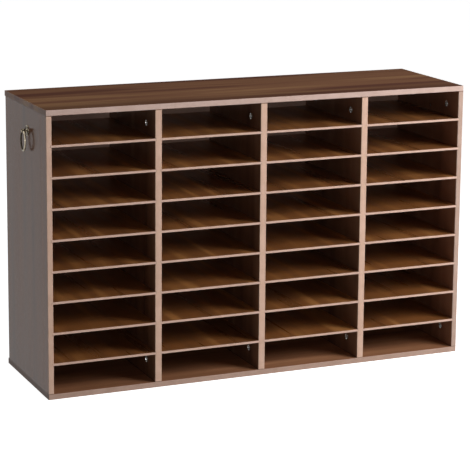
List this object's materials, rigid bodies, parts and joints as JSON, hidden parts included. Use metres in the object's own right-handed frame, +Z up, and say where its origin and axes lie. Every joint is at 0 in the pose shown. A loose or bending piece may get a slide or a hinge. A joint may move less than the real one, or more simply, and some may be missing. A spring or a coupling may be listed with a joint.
{
  "type": "document sorter",
  "caption": "Free-standing wooden document sorter: a low wide cabinet of open pigeonholes for paper, with thin shelves that slide out of grooved uprights and a ring pull on each side.",
  "frame": {"origin": "middle of the underside of the bottom panel, on the floor or table", "axes": "+X along the front to the right as seen from the front, +Y from the open front to the back, +Z up"},
  "size_m": [1.027, 0.298, 0.629],
  "materials": {
    "walnut_laminate": "satin walnut laminate, bare tan front edges",
    "walnut_shelf_board": "satin walnut print, bare tan front edge",
    "dark_hardboard": "matt",
    "beech": "bare",
    "zinc_alloy": "die-cast, satin",
    "steel": "zinc plated",
    "antique_brass": "aged, dark in the hollows"
  },
  "bodies": {
    "cabinet": {"top_panel": "walnut_laminate", "bottom_panel": "walnut_laminate", "left_side": "walnut_laminate", "divider_1": "walnut_laminate", "divider_2": "walnut_laminate", "divider_3": "walnut_laminate", "right_side": "walnut_laminate", "back_panel": "dark_hardboard", "cam_locks": "zinc_alloy", "cam_bolts": "steel", "wooden_dowels": "beech", "back_nails": "steel", "ring_rosettes": "antique_brass", "ring_posts": "antique_brass", "ring_screws": "steel"},
    "left_ring": {"left_ring": "antique_brass"},
    "right_ring": {"right_ring": "antique_brass"},
    "shelf_column1_row1": {"shelf_column1_row1": "walnut_shelf_board"},
    "shelf_column1_row2": {"shelf_column1_row2": "walnut_shelf_board"},
    "shelf_column1_row3": {"shelf_column1_row3": "walnut_shelf_board"},
    "shelf_column1_row4": {"shelf_column1_row4": "walnut_shelf_board"},
    "shelf_column1_row5": {"shelf_column1_row5": "walnut_shelf_board"},
    "shelf_column1_row6": {"shelf_column1_row6": "walnut_shelf_board"},
    "shelf_column1_row7": {"shelf_column1_row7": "walnut_shelf_board"},
    "shelf_column1_row8": {"shelf_column1_row8": "walnut_shelf_board"},
    "shelf_column2_row1": {"shelf_column2_row1": "walnut_shelf_board"},
    "shelf_column2_row2": {"shelf_column2_row2": "walnut_shelf_board"},
    "shelf_column2_row3": {"shelf_column2_row3": "walnut_shelf_board"},
    "shelf_column2_row4": {"shelf_column2_row4": "walnut_shelf_board"},
    "shelf_column2_row5": {"shelf_column2_row5": "walnut_shelf_board"},
    "shelf_column2_row6": {"shelf_column2_row6": "walnut_shelf_board"},
    "shelf_column2_row7": {"shelf_column2_row7": "walnut_shelf_board"},
    "shelf_column2_row8": {"shelf_column2_row8": "walnut_shelf_board"},
    "shelf_column3_row1": {"shelf_column3_row1": "walnut_shelf_board"},
    "shelf_column3_row2": {"shelf_column3_row2": "walnut_shelf_board"},
    "shelf_column3_row3": {"shelf_column3_row3": "walnut_shelf_board"},
    "shelf_column3_row4": {"shelf_column3_row4": "walnut_shelf_board"},
    "shelf_column3_row5": {"shelf_column3_row5": "walnut_shelf_board"},
    "shelf_column3_row6": {"shelf_column3_row6": "walnut_shelf_board"},
    "shelf_column3_row7": {"shelf_column3_row7": "walnut_shelf_board"},
    "shelf_column3_row8": {"shelf_column3_row8": "walnut_shelf_board"},
    "shelf_column4_row1": {"shelf_column4_row1": "walnut_shelf_board"},
    "shelf_column4_row2": {"shelf_column4_row2": "walnut_shelf_board"},
    "shelf_column4_row3": {"shelf_column4_row3": "walnut_shelf_board"},
    "shelf_column4_row4": {"shelf_column4_row4": "walnut_shelf_board"},
    "shelf_column4_row5": {"shelf_column4_row5": "walnut_shelf_board"},
    "shelf_column4_row6": {"shelf_column4_row6": "walnut_shelf_board"},
    "shelf_column4_row7": {"shelf_column4_row7": "walnut_shelf_board"},
    "shelf_column4_row8": {"shelf_column4_row8": "walnut_shelf_board"}
  },
  "joints": [
    {"name": "left_ring_swing", "type": "hinge", "parent": "cabinet", "child": "left_ring", "pos_m": [-0.5085, -0.017, 0.56552], "axis": [0, 1, 0], "range_deg": [-9, 189]},
    {"name": "right_ring_swing", "type": "hinge", "parent": "cabinet", "child": "right_ring", "pos_m": [0.5085, -0.017, 0.56552], "axis": [0, -1, 0], "range_deg": [-9, 189]},
    {"name": "shelf_column1_row1_slide", "type": "slide", "parent": "cabinet", "child": "shelf_column1_row1", "axis": [0, -1, 0], "range_m": [0, 0.27]},
    {"name": "shelf_column1_row2_slide", "type": "slide", "parent": "cabinet", "child": "shelf_column1_row2", "axis": [0, -1, 0], "range_m": [0, 0.27]},
    {"name": "shelf_column1_row3_slide", "type": "slide", "parent": "cabinet", "child": "shelf_column1_row3", "axis": [0, -1, 0], "range_m": [0, 0.27]},
    {"name": "shelf_column1_row4_slide", "type": "slide", "parent": "cabinet", "child": "shelf_column1_row4", "axis": [0, -1, 0], "range_m": [0, 0.27]},
    {"name": "shelf_column1_row5_slide", "type": "slide", "parent": "cabinet", "child": "shelf_column1_row5", "axis": [0, -1, 0], "range_m": [0, 0.27]},
    {"name": "shelf_column1_row6_slide", "type": "slide", "parent": "cabinet", "child": "shelf_column1_row6", "axis": [0, -1, 0], "range_m": [0, 0.27]},
    {"name": "shelf_column1_row7_slide", "type": "slide", "parent": "cabinet", "child": "shelf_column1_row7", "axis": [0, -1, 0], "range_m": [0, 0.27]},
    {"name": "shelf_column1_row8_slide", "type": "slide", "parent": "cabinet", "child": "shelf_column1_row8", "axis": [0, -1, 0], "range_m": [0, 0.27]},
    {"name": "shelf_column2_row1_slide", "type": "slide", "parent": "cabinet", "child": "shelf_column2_row1", "axis": [0, -1, 0], "range_m": [0, 0.27]},
    {"name": "shelf_column2_row2_slide", "type": "slide", "parent": "cabinet", "child": "shelf_column2_row2", "axis": [0, -1, 0], "range_m": [0, 0.27]},
    {"name": "shelf_column2_row3_slide", "type": "slide", "parent": "cabinet", "child": "shelf_column2_row3", "axis": [0, -1, 0], "range_m": [0, 0.27]},
    {"name": "shelf_column2_row4_slide", "type": "slide", "parent": "cabinet", "child": "shelf_column2_row4", "axis": [0, -1, 0], "range_m": [0, 0.27]},
    {"name": "shelf_column2_row5_slide", "type": "slide", "parent": "cabinet", "child": "shelf_column2_row5", "axis": [0, -1, 0], "range_m": [0, 0.27]},
    {"name": "shelf_column2_row6_slide", "type": "slide", "parent": "cabinet", "child": "shelf_column2_row6", "axis": [0, -1, 0], "range_m": [0, 0.27]},
    {"name": "shelf_column2_row7_slide", "type": "slide", "parent": "cabinet", "child": "shelf_column2_row7", "axis": [0, -1, 0], "range_m": [0, 0.27]},
    {"name": "shelf_column2_row8_slide", "type": "slide", "parent": "cabinet", "child": "shelf_column2_row8", "axis": [0, -1, 0], "range_m": [0, 0.27]},
    {"name": "shelf_column3_row1_slide", "type": "slide", "parent": "cabinet", "child": "shelf_column3_row1", "axis": [0, -1, 0], "range_m": [0, 0.27]},
    {"name": "shelf_column3_row2_slide", "type": "slide", "parent": "cabinet", "child": "shelf_column3_row2", "axis": [0, -1, 0], "range_m": [0, 0.27]},
    {"name": "shelf_column3_row3_slide", "type": "slide", "parent": "cabinet", "child": "shelf_column3_row3", "axis": [0, -1, 0], "range_m": [0, 0.27]},
    {"name": "shelf_column3_row4_slide", "type": "slide", "parent": "cabinet", "child": "shelf_column3_row4", "axis": [0, -1, 0], "range_m": [0, 0.27]},
    {"name": "shelf_column3_row5_slide", "type": "slide", "parent": "cabinet", "child": "shelf_column3_row5", "axis": [0, -1, 0], "range_m": [0, 0.27]},
    {"name": "shelf_column3_row6_slide", "type": "slide", "parent": "cabinet", "child": "shelf_column3_row6", "axis": [0, -1, 0], "range_m": [0, 0.27]},
    {"name": "shelf_column3_row7_slide", "type": "slide", "parent": "cabinet", "child": "shelf_column3_row7", "axis": [0, -1, 0], "range_m": [0, 0.27]},
    {"name": "shelf_column3_row8_slide", "type": "slide", "parent": "cabinet", "child": "shelf_column3_row8", "axis": [0, -1, 0], "range_m": [0, 0.27]},
    {"name": "shelf_column4_row1_slide", "type": "slide", "parent": "cabinet", "child": "shelf_column4_row1", "axis": [0, -1, 0], "range_m": [0, 0.27]},
    {"name": "shelf_column4_row2_slide", "type": "slide", "parent": "cabinet", "child": "shelf_column4_row2", "axis": [0, -1, 0], "range_m": [0, 0.27]},
    {"name": "shelf_column4_row3_slide", "type": "slide", "parent": "cabinet", "child": "shelf_column4_row3", "axis": [0, -1, 0], "range_m": [0, 0.27]},
    {"name": "shelf_column4_row4_slide", "type": "slide", "parent": "cabinet", "child": "shelf_column4_row4", "axis": [0, -1, 0], "range_m": [0, 0.27]},
    {"name": "shelf_column4_row5_slide", "type": "slide", "parent": "cabinet", "child": "shelf_column4_row5", "axis": [0, -1, 0], "range_m": [0, 0.27]},
    {"name": "shelf_column4_row6_slide", "type": "slide", "parent": "cabinet", "child": "shelf_column4_row6", "axis": [0, -1, 0], "range_m": [0, 0.27]},
    {"name": "shelf_column4_row7_slide", "type": "slide", "parent": "cabinet", "child": "shelf_column4_row7", "axis": [0, -1, 0], "range_m": [0, 0.27]},
    {"name": "shelf_column4_row8_slide", "type": "slide", "parent": "cabinet", "child": "shelf_column4_row8", "axis": [0, -1, 0], "range_m": [0, 0.27]}
  ]
}
